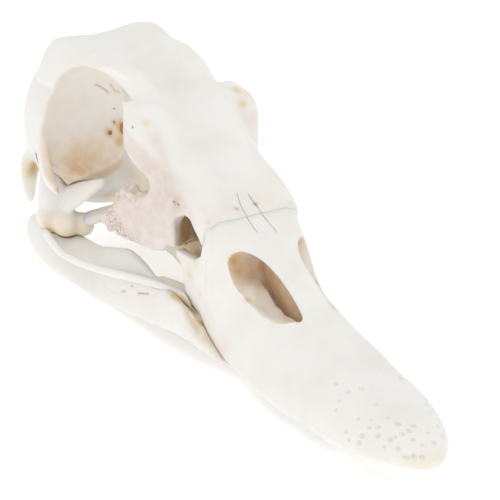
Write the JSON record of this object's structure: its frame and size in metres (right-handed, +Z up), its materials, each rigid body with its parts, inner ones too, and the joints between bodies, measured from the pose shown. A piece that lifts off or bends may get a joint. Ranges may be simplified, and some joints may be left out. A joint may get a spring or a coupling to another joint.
{
  "type": "duck skull",
  "caption": "Bleached skull of a large domestic duck with its lower jaw closed, at life size, resting on the underside of the jaw as a museum specimen.",
  "frame": {"origin": "middle of the skull's length and width, on the surface it rests on", "axes": "+X along the skull towards the tip of the bill, +Y to the animal's left, +Z up"},
  "size_m": [0.122, 0.0328, 0.0421],
  "materials": {
    "bone": "dry bleached bone"
  },
  "bodies": {
    "root": {"braincase": "bone", "frontal": "bone", "orbital_septum": "bone", "lacrimal_right": "bone", "lacrimal_left": "bone", "upper_bill": "bone", "vomer": "bone", "quadrate_right": "bone", "quadrate_left": "bone", "pterygoid_right": "bone", "pterygoid_left": "bone", "palatine_right": "bone", "palatine_left": "bone", "jugal_bar_right": "bone", "jugal_bar_left": "bone", "mandible_right": "bone", "mandible_left": "bone", "mandible_symphysis": "bone"}
  },
  "joints": []
}
